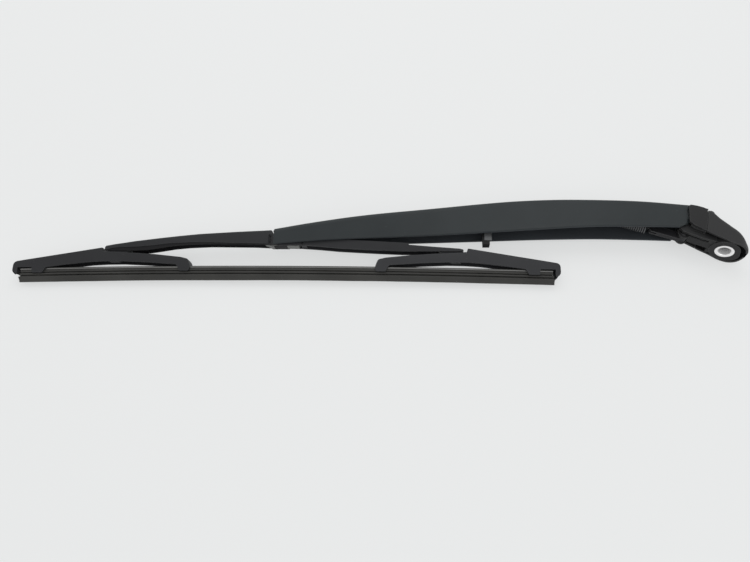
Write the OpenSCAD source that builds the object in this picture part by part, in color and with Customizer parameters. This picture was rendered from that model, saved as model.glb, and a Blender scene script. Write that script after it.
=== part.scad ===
// Rear-window wiper arm with its blade, lying on its side as it comes off the car.
// Origin: centre of the spindle bore on the glass-side face of the insert.
// +Y points away from the glass along the bore, the arm runs toward -X, +Z is the sweep direction.
// The arm hangs in its free state: turned about the lift hinge by rest_droop past its working line.

/* [Show] */
// Sub-part to draw, or all of them

/* [Spindle] */
// Bore that takes the motor spindle, diameter
spindle_bore = 7.5; // [6.5:0.5:8.5]
// Outside diameter of the metal insert
insert_diameter = 11.5; // [11:0.5:13]
// Length of the insert along the bore
insert_length = 6; // [5.5:0.1:6.5]
// How far the insert stands proud of the head on the glass side
insert_proud = 0.4; // [0.2:0.1:0.8]

/* [Head] */
// Outside diameter of the round boss that holds the insert
boss_diameter = 18.4; // [17:0.2:19]
// Lift hinge, distance from the bore axis along the glass
hinge_back = 21.5; // [21:0.25:22]
// Lift hinge, height above the bore face
hinge_rise = 18.5; // [18:0.25:19]
// Diameter of the lift hinge pin
hinge_pin_diameter = 4; // [3.5:0.25:4.5]
// Diameter of the round hinge ears
ear_diameter = 12; // [11:0.5:12]

/* [Nut cover] */
// Wall thickness of the cover
cover_wall = 1.3; // [1:0.1:1.5]
// Diameter of the cover's hinge pin
cover_pin_diameter = 1.8; // [1.5:0.1:2]

/* [Arm] */
// Distance from the lift hinge to the blade pivot along the arm
arm_reach = 274.65; // [260:1:290]
// Drop from the lift hinge to the blade pivot
pivot_drop = 15.93; // [15.5:0.1:16.5]
// How far the free arm has swung past its working line, degrees
rest_droop = 18.14; // [10:0.5:20]
// Twist of the arm's tip that sets the blade's attack angle, degrees
blade_roll = 15; // [8:1:16]
// Side wall thickness of the channel
arm_wall = 1.3; // [1.1:0.1:1.4]
// Roof thickness of the channel
arm_roof = 1.9; // [1.6:0.1:2]
// Height of the channel's crown above the hinge
arm_crown = 14.1; // [13.4:0.1:14.4]
// Radius along the roof's edges
arm_edge = 2.6; // [2:0.2:3]

/* [Spring] */
// Mean radius of the coil
coil_radius = 3.6; // [3.2:0.1:3.7]
// Wire diameter of the coil
wire_diameter = 1; // [0.8:0.1:1.2]
// Number of turns
coil_turns = 25; // [18:1:27]

/* [Blade] */
// Overall length of the rubber
rubber_length = 358; // [350:1:370]
// Height from the rubber's lip to the blade pivot
lip_drop = 28.4; // [28:0.1:29]
// How far the ends of the rubber bow below its middle
blade_bow = 2.4; // [1:0.2:3]
// Distance of each lever pin from the blade pivot
lever_pin_x = 116; // [114:0.5:117]
// Outside half width of the levers
lever_half = 4.5; // [4.4:0.1:4.7]
// Outside half width of the bridge
bridge_half = 4.3; // [4.2:0.1:4.5]
// Wall thickness of the levers and of the bridge
blade_wall = 1.2; // [1:0.05:1.25]
// Diameter of the pins at the levers
lever_pin_diameter = 2.6; // [2.2:0.1:2.8]
// Diameter of the blade's pivot pin
bridge_pin_diameter = 3.4; // [3:0.2:3.8]

/* [Fits] */
// Radial clearance of every pin in the piece that turns on it
running = 0.05; // [0.02:0.01:0.08]
// Side clearance between pieces that move past one another
side_gap = 0.3; // [0.25:0.05:0.4]
// Clearance between the round boss and the inside of the nut cover
cover_gap = 0.2; // [0.15:0.05:0.6]

/* [Hidden] */
$fn = 48;
eps = 0.01;
bore_r = spindle_bore / 2;
insert_r = insert_diameter / 2;
boss_r = boss_diameter / 2;
boss_top = 5.2;
hinge = [-hinge_back, hinge_rise];
pin_r = hinge_pin_diameter / 2;
bush_r = pin_r + 1;
ear_r = ear_diameter / 2;
// Layers across the lift hinge, half widths from the middle outward
drum_half = 4.6;
plate_in = drum_half + side_gap;
plate_out = plate_in + 1.4;
ear_out = 8.4;
flank_in = 8.9;
flank_half = 10.3;
neck_half = 6.4;
// Core below the drum: its two sides aren't alike, a rib stands beside it on the near side
core_back = 2.3;
core_near = 3.8;
core_far = 3.3;
rib_in = 5.3;
rib_out = 6.9;
// Spring link pin in the head, from the bore
link_at = [-27, 3.1];
link_pin_r = 1.5;
link_eye_r = 2.9;
link_half = 1.6;
link_pin_half = 4.2;
cover_half = boss_r + cover_gap + cover_wall;
cover_end = boss_r + 4.4;
cover_round = boss_r + 0.8;
cover_back = -15.1;
cover_pin_r = cover_pin_diameter / 2;
cover_pivot = [-13.1, 21.6];
barrel_r = 2.3;
lug_half = 3.4;
// Spring, seen from the lift hinge in the arm's own frame
anchor_at = [-68.2, 7.2];
anchor_r = 1.6;
anchor_half = 7;
wire_r = wire_diameter / 2;
link_arm = turn(link_at - hinge, -rest_droop);
spring_dir = (link_arm - anchor_at) / norm(link_arm - anchor_at);
spring_angle = atan2(spring_dir[1], spring_dir[0]);
spring_span = norm(link_arm - anchor_at);
coil_start = 4.2;
coil_length = 34.3;
link_length = spring_span - 2 * coil_start - coil_length;
link_stub_r = 1.15;
// Height at which the peg ends and its dark tip begins
peg_foot = -8.7;
// Blade, seen from its pivot
lever_inner = lever_half - blade_wall;
bridge_inner = bridge_half - blade_wall;
tongue_half = lever_inner - side_gap;
adapter_half = bridge_inner - side_gap;
lever_pin_r = lever_pin_diameter / 2;
bridge_pin_r = bridge_pin_diameter / 2;
lever_pin_at = [lever_pin_x, 15.6 - lip_drop];
rubber_half = rubber_length / 2;
rubber_head = 2.8;
strip_edge = 3.1;
strip_core = 1;

// Plane point turned by an angle
function turn(p, a) = [p[0] * cos(a) - p[1] * sin(a), p[0] * sin(a) + p[1] * cos(a)];
// Smooth curve through points sorted by their first value
function curve(k, x, i = 0) = i < len(k) - 2 && x > k[i + 1][0] ? curve(k, x, i + 1) :
    let (a = k[i], b = k[i + 1], w = b[0] - a[0], t = min(1, max(0, (x - a[0]) / w)),
        ma = i == 0 ? b[1] - a[1] : (b[1] - k[i - 1][1]) / (b[0] - k[i - 1][0]) * w,
        mb = i + 2 == len(k) ? b[1] - a[1] : (k[i + 2][1] - a[1]) / (k[i + 2][0] - a[0]) * w)
    (2 * pow(t, 3) - 3 * t * t + 1) * a[1] + (pow(t, 3) - 2 * t * t + t) * ma
    + (3 * t * t - 2 * pow(t, 3)) * b[1] + (pow(t, 3) - t * t) * mb;
function ease(t) = let (u = min(1, max(0, t))) u * u * (3 - 2 * u);

// Arm outline, first value is the place along the arm as a share of its reach
tip_share = -1.0226;
arm_top_line = [[tip_share, -9.5], [-0.94, -5.3], [-0.776, 2.1], [-0.613, 7.6], [-0.449, arm_crown - 1.5],
    [-0.34, arm_crown], [-0.23, arm_crown - 0.6], [-0.121, arm_crown - 2.2], [-0.0124, 8.5]];
arm_foot_line = [[tip_share, -20.7], [-0.886, -17.7], [-0.722, -15.3], [-0.503, -12.5], [-0.34, -10.4],
    [-0.23, -9.5], [-0.121, -9.9], [-0.0124, -10.8]];
arm_half_line = [[tip_share, 6.4], [-0.62, 6.5], [-0.38, 7], [-0.22, 8], [-0.0124, 8.6]];
function arm_top(s) = curve(arm_top_line, s);
function arm_foot(s) = curve(arm_foot_line, s);
function arm_half(s) = curve(arm_half_line, s);
function arm_twist(s) = blade_roll * (1 - ease((s + 0.958) / 0.746));
// Height the section turns about: the blade pivot at the tip, its own middle further back
function arm_axis(s) = let (m = (arm_top(s) + arm_foot(s)) / 2, u = ease((s + 0.95) / 0.3))
    -pivot_drop * (1 - u) + m * u;

// Ring of a channel section: outside from one foot over the roof to the other, then back inside
function channel_half(half, foot, top, edge) =
    concat([[foot, half]], [for (a = [0:22.5:90]) [top - edge + edge * sin(a), half - edge + edge * cos(a)]],
        [for (a = [90:22.5:180]) [top - edge + edge * sin(a), -half + edge + edge * cos(a)]], [[foot, -half]]);
function arm_ring(s) = let (h = arm_half(s), f = arm_foot(s), t = arm_top(s), a = arm_twist(s), c = arm_axis(s),
        out = channel_half(h, f, t, arm_edge),
        in = channel_half(h - arm_wall, f, t - arm_roof, arm_edge - 1.2))
    [for (p = concat(out, in)) let (q = turn([p[0] - c, p[1]], a)) [s * arm_reach, q[0] + c, q[1]]];

// Solid between rings that hold an outer row followed by an inner row of the same length
module channel_loft(rings) {
    n = len(rings[0]);
    m = n / 2;
    last = len(rings) - 1;
    // Next point round the section: along the outside, across a foot, back along the inside
    path = concat([for (i = [0:m - 1]) i], [for (i = [m - 1:-1:0]) m + i]);
    polyhedron(points = [for (r = rings) for (p = r) p], faces = concat(
        [for (k = [0:last - 1]) for (i = [0:n - 1]) let (a = path[i], b = path[(i + 1) % n])
            for (f = [[k * n + a, (k + 1) * n + b, (k + 1) * n + a], [k * n + a, k * n + b, (k + 1) * n + b]]) f],
        [for (i = [0:m - 2]) for (f = [[i, m + i, m + i + 1], [i, m + i + 1, i + 1]]) f],
        [for (i = [0:m - 2]) for (f = [[i, m + i + 1, m + i], [i, i + 1, m + i + 1]]) [for (v = f) last * n + v]]));
}
// Solid between rings of a section that is the same left and right, listed up one side and down the other
module mirror_loft(rings) {
    n = len(rings[0]);
    m = n / 2;
    last = len(rings) - 1;
    polyhedron(points = [for (r = rings) for (p = r) p], faces = concat(
        [for (k = [0:last - 1]) for (i = [0:n - 1]) let (j = (i + 1) % n)
            for (f = [[k * n + i, (k + 1) * n + j, (k + 1) * n + i], [k * n + i, k * n + j, (k + 1) * n + j]]) f],
        [for (i = [0:m - 2]) for (f = [[i, n - 1 - i, n - 2 - i], [i, n - 2 - i, i + 1]]) f],
        [for (i = [0:m - 2]) for (f = [[i, n - 2 - i, n - 1 - i], [i, i + 1, n - 2 - i]]) [for (v = f) last * n + v]]));
}
// Places a child drawn from the lift hinge, and one drawn from the blade pivot
module arm_place() translate([hinge[0], hinge[1], 0]) rotate([0, 0, rest_droop]) children();
module blade_place() arm_place() translate([-arm_reach, -pivot_drop, 0]) rotate([blade_roll, 0, 0]) children();
// Slab of a side profile between two half widths, on both sides of the middle
module slab(pts, half) translate([0, 0, -half]) linear_extrude(2 * half) polygon(pts);
module cheeks(pts, low, high) for (s = [0, 1]) mirror([0, 0, s]) translate([0, 0, low]) linear_extrude(high - low) polygon(pts);
module pin(at, r, half) translate([at[0], at[1], -half]) cylinder(r = r, h = 2 * half);
module ring_pair(at, r, low, high) for (s = [0, 1]) mirror([0, 0, s]) translate([at[0], at[1], low]) cylinder(r = r, h = high - low);

// Cast head: drum inside the hinge ears, flanks outside them, core and rib down to the round boss, lug for the cover
module arm_head() color([0.16, 0.16, 0.17]) difference() {
    union() {
        pin(hinge, ear_r - 0.2, drum_half);
        slab([[-26.2, 15], [-25.4, 9.8], [-24, 8], [-10, 8], [-10, 12], [-11.6, 18.7], [-16.5, 18.4]], drum_half);
        slab([[-13.8, 17.6], [-11.3, 17.6], [-11, 21.6], [-11.6, 23], [-13.1, 23.7], [-14.6, 23], [-15.2, 21.6]], lug_half);
        translate([0, 0, -core_far]) linear_extrude(core_far + core_near)
            polygon([[-26.4, 10], [-31.3, 5.2], [-30.6, 3.6], [-26, 2.9], [-23.4, 2.6], [-22, 6], [-7, 6], [-7, 9], [-24, 9.4]]);
        translate([0, 0, -core_back]) linear_extrude(core_back + core_near)
            polygon([[-26, 2.9], [-14, 1.6], [-7, 1], [-7, 7], [-24, 7]]);
        // Shelf that joins the rib to the near flank
        translate([0, 0, rib_in + 0.4]) linear_extrude(flank_in + eps - rib_in - 0.4)
            polygon([[-24.6, 7], [-24.2, 9], [-22.6, 11.3], [-15.4, 12], [-15.4, 4.6], [-19, 5.2], [-22.8, 5.9]]);
        translate([link_at[0], link_at[1], -core_far]) cylinder(r = link_pin_r + 1.9, h = core_far + core_near);
        translate([0, 0, core_near - eps]) linear_extrude(rib_out - core_near)
            polygon([[-30.6, 5.2], [-26.4, 9.4], [-24, 10.2], [-18, 7.8], [-8, 4.8], [-8, 0.9], [-15, 0.9], [-28.6, 2.8]]);
        // Flanks outside the ears, with a web under the ears that carries them
        difference() {
            cheeks([[-27.9, 22.2], [-26.1, 9.2], [-22.8, 7.1], [-19, 6], [-15.4, 4.9], [-15.4, 23.1], [-17.2, 23.1],
                [-19, 23.5], [-23, 23.7], [-27, 23.3]], flank_in, flank_half);
            ring_pair(cover_pivot, 2.95, flank_in - 1, flank_half + 1);
        }
        difference() {
            cheeks([[-24, 9.4], [-22.6, 11.3], [-15.4, 13], [-15.4, 6.2], [-19, 7.2]], core_far - eps, flank_in + eps);
            ring_pair(hinge, ear_r + side_gap, drum_half - 0.2, flank_in);
        }
        difference() {
            cheeks([[-17, 7], [-8, 4], [-8, 13], [-10.5, 17.8], [-14.6, 17.8]], core_far - eps, neck_half);
            ring_pair(hinge, ear_r + side_gap, drum_half, ear_out);
        }
        translate([0, insert_proud, 0]) rotate([-90, 0, 0]) {
            cylinder(r = boss_r, h = boss_top - insert_proud);
            // Fuller on the far side of the end
            translate([2.8, 2.2, 0]) cylinder(r = boss_r - 2.2, h = boss_top - insert_proud);
            cylinder(r = insert_r + 1.8, h = insert_length - insert_proud);
        }
        translate([-10, insert_proud + 1, -neck_half]) cube([8, boss_top - insert_proud - 1, 2 * neck_half]);
    }
    rotate([-90, 0, 0]) translate([0, 0, -1]) cylinder(r = insert_r, h = insert_length + 2);
    pin(hinge, pin_r, flank_in);
    pin(link_at, link_pin_r, link_pin_half);
    pin(cover_pivot, cover_pin_r, 20);
    // Slot the spring link swings in
    slab([[-34, -2], [-24.6, -2], [-23.4, 2], [-23.4, 6.4], [-25, 8.6], [-34, 16]], link_half + side_gap);
    // Groove between the core and the rib, open on the glass side
    translate([-32, -1, core_near]) cube([20.5, 6.4, rib_in - core_near]);
}
// Bright metal insert with the tapered spindle's bore
module spindle_insert() color([0.86, 0.84, 0.85]) rotate([-90, 0, 0]) difference() {
    cylinder(r = insert_r, h = insert_length);
    translate([0, 0, -1]) cylinder(r = bore_r, h = insert_length + 2);
    translate([0, 0, -eps]) cylinder(r1 = bore_r + 0.5, r2 = bore_r, h = 0.5);
}
module hinge_pin() color([0.5, 0.5, 0.52]) pin(hinge, pin_r, ear_out);
module hinge_bushes() color([0.75, 0.72, 0.62]) difference() {
    ring_pair(hinge, bush_r, plate_in, ear_out - 0.1);
    pin(hinge, pin_r + running, 20);
}
// Pressed bracket fixed in the arm: two plates that end in round ears about the lift hinge
module hinge_bracket() color([0.2, 0.2, 0.21]) arm_place() difference() {
    union() {
        ring_pair([0, 0], ear_r, plate_in, ear_out);
        cheeks([[-40, arm_top(-40 / arm_reach) - arm_roof - 0.1], [-6, 5.4], [0, 5.4], [0, -5], [-6, -5], [-40, -1]],
            plate_in, plate_out);
        difference() {
            slab([[-40, arm_top(-40 / arm_reach) - arm_roof - 0.1], [-16, arm_top(-16 / arm_reach) - arm_roof - 0.1],
                [-16, 5.9], [-40, 8.2]], plate_in + 0.2);
            for (x = [-34, -22]) translate([x, 12, 0]) rotate([90, 0, 0]) cylinder(r = 2, h = 12);
        }
    }
    pin([0, 0], bush_r, 20);
}
// Lines of the nut cover along the head: crown, lower edge, half width and radius of the shoulders
cover_top_line = [[-15.1, 23.3], [-13.4, 23.3], [-11, 22.4], [-8, 20.5], [0, 16], [4, 13.5], [7.5, 10.6], [11, 7], [13.6, 4.4]];
cover_foot_line = [[-15.1, 4.8], [-12.5, 4], [-6.2, 2.5], [0, 0.6], [5, 0.2], [9, 0.2], [11.5, 0.5], [13.6, 1.4]];
cover_half_line = [[-15.1, flank_half], [-8, flank_half + 0.1], [-3, cover_half - 0.15], [4, cover_half]];
cover_edge_line = [[-15.1, 2.5], [-8, 5], [0, 6], [8, 6]];
// Section of the cover: up one side, over the shoulders, down the other
function cover_ring(x, inset, open) = let (e = cover_end - inset, r = cover_round - inset * 0.9, u = max(0, x - e + r) / r,
        w = (lookup(x, cover_half_line) - inset) * sqrt(1 - u * u), f = lookup(x, cover_foot_line) - 9 * open,
        t = lookup(x, cover_top_line) - inset * 1.25, q = max(0.2, min(lookup(x, cover_edge_line) - inset, w * 0.95, (t - f) * 0.8)),
        side = concat([[f, w]], [for (a = [0:15:90]) [t - q + q * sin(a), w - q + q * cos(a)]]))
    [for (i = [0:2 * len(side) - 1]) let (n = len(side), near = i < n, p = side[near ? i : 2 * n - 1 - i])
        [x, p[0], near ? p[1] : -p[1]]];
module cover_solid(inset, open) {
    back = cover_back - open;
    bend = cover_end - inset - cover_round + inset * 0.9;
    mirror_loft(concat([for (x = [back, -13.4, -11, -8, -4, 0]) cover_ring(x, inset, open)],
        [for (a = [6:10:76]) cover_ring(bend + (cover_end - inset - bend) * sin(a), inset, open)]));
}
// Snap-on cover over the spindle nut, hinged at the top of the head
module nut_cover() color([0.18, 0.18, 0.19]) difference() {
    union() {
        difference() {
            cover_solid(0, 0);
            cover_solid(cover_wall, 1);
        }
        ring_pair(cover_pivot, barrel_r, lug_half + side_gap, 8.4);
    }
    pin(cover_pivot, cover_pin_r + running, 20);
    // Room for the lug and, below it, for the head's shoulder
    translate([-19, 15, -lug_half - side_gap]) cube([8.3, 12, 2 * (lug_half + side_gap)]);
}
module cover_pin() color([0.55, 0.55, 0.57]) pin(cover_pivot, cover_pin_r, 8.2);
// Painted arm: a channel open toward the glass, narrowing and twisting toward the blade
module arm_channel() color([0.22, 0.25, 0.26]) arm_place() difference() {
    channel_loft([for (i = [0:18]) arm_ring(tip_share - 0.0124 * i / 18 + (-tip_share) * i / 18)]);
    // Rear edge: follows the ears above, leans forward to the foot below
    translate([0, 0, -15]) linear_extrude(30) polygon([[-3.6, 20], [-3.6, 6], [-ear_r - 0.5, 2.2], [-ear_r - 0.5, -2.4],
        [-6.2, -4.9], [-7.2, -7.6], [-9.3, -9], [-13.6, -9.9], [-14.5, -14], [6, -14], [6, 20]]);
    ring_pair([0, 0], ear_r + side_gap, plate_in - 1, 12);
    pin(anchor_at, anchor_r, anchor_half);
}
module spring_anchor_pin() color([0.5, 0.5, 0.52]) arm_place() pin(anchor_at, anchor_r, anchor_half - 0.05);
// Point and ring of the coil, drawn along +X
function coil_point(t) = [coil_start + coil_length * t, coil_radius * cos(360 * coil_turns * t), coil_radius * sin(360 * coil_turns * t)];
function coil_ring(t, sides) = let (a = 360 * coil_turns * t, c = coil_point(t),
        lead = coil_length / (coil_turns * 2 * PI), g = sqrt(lead * lead + coil_radius * coil_radius),
        n = [0, cos(a), sin(a)], b = [-coil_radius, -sin(a) * lead, cos(a) * lead] / g)
    [for (i = [0:sides - 1]) c + wire_r * (cos(360 * i / sides) * n + sin(360 * i / sides) * b)];
module coil() {
    steps = 12 * coil_turns;
    sides = 6;
    rings = [for (k = [0:steps]) coil_ring(k / steps, sides)];
    polyhedron(points = [for (r = rings) for (p = r) p], faces = concat(
        [for (k = [0:steps - 1]) for (i = [0:sides - 1]) let (j = (i + 1) % sides)
            for (f = [[k * sides + i, (k + 1) * sides + i, (k + 1) * sides + j],
                [k * sides + i, (k + 1) * sides + j, k * sides + j]]) f],
        [[for (i = [0:sides - 1]) i]], [[for (i = [sides - 1:-1:0]) steps * sides + i]]));
}
// Wire eye about the anchor pin or the link, with its shank to the coil
module wire_eye(at, r, way) {
    translate([at, 0, 0]) rotate_extrude($fn = 32) translate([r + wire_r, 0]) circle(r = wire_r, $fn = 12);
    translate([at + way * (r + wire_r), 0, 0]) rotate([0, way * 90, 0]) cylinder(r = wire_r, h = coil_start - r, $fn = 12);
    translate([at + way * coil_start, 0, 0]) rotate([-90, 0, 0]) cylinder(r = wire_r, h = coil_radius, $fn = 12);
}
module tension_spring() color([0.45, 0.46, 0.48]) arm_place() translate([anchor_at[0], anchor_at[1], 0]) rotate([0, 0, spring_angle]) {
    coil();
    wire_eye(0, anchor_r + 0.02, 1);
    wire_eye(coil_start * 2 + coil_length, link_stub_r + 0.05, -1);
}
// Flat link from its pin in the head to the spring's eye, forked about the eye
module spring_link() color([0.32, 0.32, 0.34]) arm_place() translate([link_arm[0], link_arm[1], 0])
    rotate([0, 0, spring_angle + 180]) {
    difference() {
        union() {
            pin([0, 0], link_eye_r, link_half);
            slab([[0, -2.2], [link_length, -2.6], [link_length, 2.6], [7, 2.9], [3, 3.3], [0, 2.8]], link_half);
            pin([link_length, 0], 2.6, link_half);
        }
        pin([0, 0], link_pin_r + running, 5);
        slab([[link_length - 3, -4], [link_length + 4, -4], [link_length + 4, 4], [link_length - 3, 4]], wire_r + 0.15);
    }
    pin([link_length, 0], link_stub_r, link_half);
}
module link_pin() color([0.5, 0.5, 0.52]) pin(link_at, link_pin_r, link_pin_half - 0.05);
// Peg under the arm that stops the blade from tipping up against it
module rest_peg() color([0.45, 0.46, 0.47]) arm_place() slab([[-139.4, arm_top(-139.4 / arm_reach) - arm_roof - 0.3],
    [-134.4, arm_top(-134.4 / arm_reach) - arm_roof - 0.3], [-134.4, peg_foot], [-139.4, peg_foot]], 2.4);
module peg_tip() color([0.15, 0.15, 0.16]) arm_place() slab([[-141.4, peg_foot], [-136.2, peg_foot], [-136.9, -20.4], [-141.4, -20.4]], 2);
// Light clip fixed under the arm's tip, holds the blade's pivot pin
module blade_adapter() color([0.66, 0.67, 0.68]) blade_place() difference() {
    slab([for (p = [[-13, 24.9], [-7.4, 22.5], [-2, 23.3], [1.6, 23], [10.2, 23], [11.2, 26], [12.6, 35.7], [-4.9, 32.4],
        [-5, 27.2], [-9, 26.2]]) [p[0], p[1] - lip_drop]], adapter_half);
    pin([0, 0], bridge_pin_r + running, 9);
}
// Side profiles of the blade, heights counted from the rubber's lip
bridge_side = [[-121, 22.5], [-114.7, 24], [-101, 26.3], [-84, 28.5], [-70.6, 30.1], [-57, 31.5], [-43, 32.4], [-30, 33.2],
    [-16, 33.9], [-8.8, 34.3], [-8.3, 34.1], [-8, 33.4], [-8, 31.2], [10, 30.8], [26, 29.4], [50, 27.3], [70, 26.1], [84, 25.4], [84.3, 24],
    [100, 22.7], [117.5, 21.4], [120.2, 20.6], [120.2, 19.3], [80, 19.2], [65, 19.8], [51, 20.5], [37, 21.3], [24, 22.5],
    [10, 23.4], [3.6, 23.4], [3, 23.1],
    [-3.4, 23.1], [-4, 23.6], [-20, 24], [-50, 24.2], [-65, 23.5], [-75, 22.5], [-86, 20.6], [-92, 19.7], [-100, 19.2], [-112, 19.3], [-121, 19.8]];
visor_step = [[-121.5, 20.8], [-112, 21.4], [-98, 22], [-86, 23.2], [-77, 24.3], [-62, 25.1], [-50, 25.1], [-35, 24.7], [-12, 24.3]];
lever_side = [[64.4, 13.8], [63.2, 12.2], [62.1, 9.2], [61.9, 7.4], [62.8, 5.2], [68.8, 5.2], [70.6, 8.5], [71.6, 9.5],
    [91, 10.7], [110, 11.4], [121.5, 11.2], [131, 10.6], [143, 9.2], [153.5, 7.9], [160.1, 7.1], [162.3, 3.4], [169.4, 3.4],
    [169.7, 7.1], [179.9, 7.1], [180.1, 2], [182.3, 3.8], [182.7, 9.5], [181.6, 11.5], [123.2, 21.4], [122.5, 18.9],
    [114, 18.4], [100, 17.7], [87, 16.8], [69, 14.9]];
function from_pivot(pts, side = 1) = [for (p = pts) [side * p[0], p[1] - lip_drop]];
module bridge_tongue(side) slab(from_pivot([[104, 20.4], [110, 13.4], [113, 12.4], [119, 12.4], [120, 15], [120.2, 20.4]], side),
    tongue_half);
module blade_bridge() color([0.19, 0.19, 0.21]) blade_place() difference() {
    union() {
        difference() {
            slab(from_pivot(bridge_side), bridge_half);
            // Hollow under the roof, open below
            slab(from_pivot([[-119.5, 15], [-119.5, 20.4], [-101, 24.5], [-84, 26.7], [-57, 29.7], [-30, 31.4], [-10, 32.2],
                [-8.5, 29.2], [26, 27.8], [50, 25.8], [70, 24.4], [83, 23.4], [100, 21.1], [118.8, 19.6], [118.8, 15]]), bridge_inner);
            // Step along both sides of the visor: its lower edge is set in
            cheeks(from_pivot(concat(visor_step, [[-12, 15], [-121.5, 15]])), bridge_half - 0.5, bridge_half + 1);
            // Open roof about the clip
            translate([-7.9, 25 - lip_drop, -bridge_inner]) cube([23.7, 12, 2 * bridge_inner]);
        }
        bridge_tongue(1);
        bridge_tongue(-1);
    }
    pin([0, 0], bridge_pin_r, 20);
    pin(lever_pin_at, lever_pin_r + running, 20);
    pin([-lever_pin_at[0], lever_pin_at[1]], lever_pin_r + running, 20);
}
module bridge_pin() color([0.55, 0.55, 0.57]) blade_place() pin([0, 0], bridge_pin_r, bridge_half);
// Claw lever: channel over the rubber with two pairs of claws and a hook at its end
module lever(side) difference() {
    union() {
        difference() {
            slab(from_pivot(lever_side, side), lever_half);
            slab(from_pivot([[60, 0], [60, 10], [64, 10.8], [66.6, 12.4], [87, 15.3], [100, 16.2], [122.5, 17.3], [124.6, 19.2],
                [180, 9.7], [181, 9.4], [181, 4], [184, 4], [184, 0]], side), lever_inner);
            // Opening the bridge's tongue comes down through
            translate([side > 0 ? 103 : -122.2, 14 - lip_drop, -lever_inner]) cube([19.2, 6, 2 * lever_inner]);
        }
        // Inward lips under the rubber's upper rib
        for (x = [[63.2, 68.6, blade_bow * 0.136], [162.7, 169.2, blade_bow * 0.86]])
            cheeks(from_pivot([[x[0], 5.64 - x[2]], [x[1], 5.64 - x[2]], [x[1], 6.1 - x[2]], [x[0], 6.1 - x[2]]], side),
                1.8, lever_inner + eps);
    }
    pin([side * lever_pin_at[0], lever_pin_at[1]], lever_pin_r, lever_half - 0.5);
}
module outer_lever() color([0.2, 0.2, 0.22]) blade_place() lever(-1);
module inner_lever() color([0.2, 0.2, 0.22]) blade_place() lever(1);
module outer_lever_pin() color([0.55, 0.55, 0.57]) blade_place() pin([-lever_pin_at[0], lever_pin_at[1]], lever_pin_r, lever_half - 0.55);
module inner_lever_pin() color([0.55, 0.55, 0.57]) blade_place() pin(lever_pin_at, lever_pin_r, lever_half - 0.55);
// Rubber section, [half width, height above the lip], from the lip to the top rib
rubber_side = [[0.35, 0], [0.6, 1], [2.4, 2.9], [2.4, 3.45], [1.1, 3.5], [1.1, 4.35], [rubber_head, 4.4], [rubber_head, 5.45],
    [1.5, 5.5], [1.5, 6.2], [rubber_head, 6.25], [rubber_head, 7.65], [0.9, 7.7], [0.9, 8.9], [2.2, 8.95], [2.2, 9.4], [1.5, 9.5]];
function sag(x) = -blade_bow * pow(x / rubber_half, 2);
function rubber_ring(x) = [for (i = [0:2 * len(rubber_side) - 1]) let (m = len(rubber_side), near = i < m,
        p = rubber_side[near ? i : 2 * m - 1 - i]) [x, p[1] - lip_drop + sag(x), near ? p[0] : -p[0]]];
module wiper_rubber() color([0.27, 0.26, 0.24]) blade_place() mirror_loft([for (i = [0:14]) rubber_ring(rubber_half * (i / 7 - 1))]);
module spline(side) blade_place() mirror_loft([for (i = [0:14]) let (x = (rubber_half - 1) * (i / 7 - 1), y = 8.3 - lip_drop + sag(x))
    side > 0 ? [[x, y - 0.45, strip_edge], [x, y + 0.45, strip_edge], [x, y + 0.45, strip_core], [x, y - 0.45, strip_core]] :
        [[x, y - 0.45, -strip_core], [x, y + 0.45, -strip_core], [x, y + 0.45, -strip_edge], [x, y - 0.45, -strip_edge]]]);
module near_spline() color([0.62, 0.62, 0.62]) spline(1);
module far_spline() color([0.62, 0.62, 0.62]) spline(-1);

arm_head();
spindle_insert();
hinge_pin();
hinge_bushes();
hinge_bracket();
nut_cover();
cover_pin();
arm_channel();
spring_anchor_pin();
tension_spring();
spring_link();
link_pin();
rest_peg();
peg_tip();
blade_adapter();
blade_bridge();
bridge_pin();
outer_lever();
outer_lever_pin();
inner_lever();
inner_lever_pin();
wiper_rubber();
near_spline();
far_spline();
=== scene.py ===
"""Rear wiper arm: looks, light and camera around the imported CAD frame, built as a small Blender add-on."""
import math
import bmesh
import bpy
import numpy as np
from mathutils import Matrix, Vector


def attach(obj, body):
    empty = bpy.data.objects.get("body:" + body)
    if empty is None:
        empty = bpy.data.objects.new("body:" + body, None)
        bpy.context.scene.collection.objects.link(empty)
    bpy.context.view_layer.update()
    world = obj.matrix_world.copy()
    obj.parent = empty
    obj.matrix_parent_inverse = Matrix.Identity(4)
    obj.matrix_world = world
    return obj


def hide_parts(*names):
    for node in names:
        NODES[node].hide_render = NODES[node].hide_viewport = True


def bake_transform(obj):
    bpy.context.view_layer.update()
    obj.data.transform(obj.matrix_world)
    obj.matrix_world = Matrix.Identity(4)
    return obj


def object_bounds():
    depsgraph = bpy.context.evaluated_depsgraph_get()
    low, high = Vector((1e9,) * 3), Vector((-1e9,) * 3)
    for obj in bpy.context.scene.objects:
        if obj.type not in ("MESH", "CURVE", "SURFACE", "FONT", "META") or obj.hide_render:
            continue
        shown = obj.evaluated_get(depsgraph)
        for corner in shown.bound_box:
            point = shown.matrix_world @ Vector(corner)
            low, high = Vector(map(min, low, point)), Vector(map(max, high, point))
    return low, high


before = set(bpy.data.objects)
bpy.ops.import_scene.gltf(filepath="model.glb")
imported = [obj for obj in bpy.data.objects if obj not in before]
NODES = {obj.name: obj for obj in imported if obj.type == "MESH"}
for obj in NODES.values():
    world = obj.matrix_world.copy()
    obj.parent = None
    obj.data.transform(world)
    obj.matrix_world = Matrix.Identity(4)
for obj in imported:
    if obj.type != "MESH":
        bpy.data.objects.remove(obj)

bl_info = {
    "name": "Wiper Arm Builder",
    "version": (1, 0, 0),
    "blender": (4, 5, 0),
    "location": "View3D > Sidebar > Wiper Arm",
    "description": "Builds a rear wiper arm's pieces, materials, light and camera around a CAD frame",
    "category": "Object",
}

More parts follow.
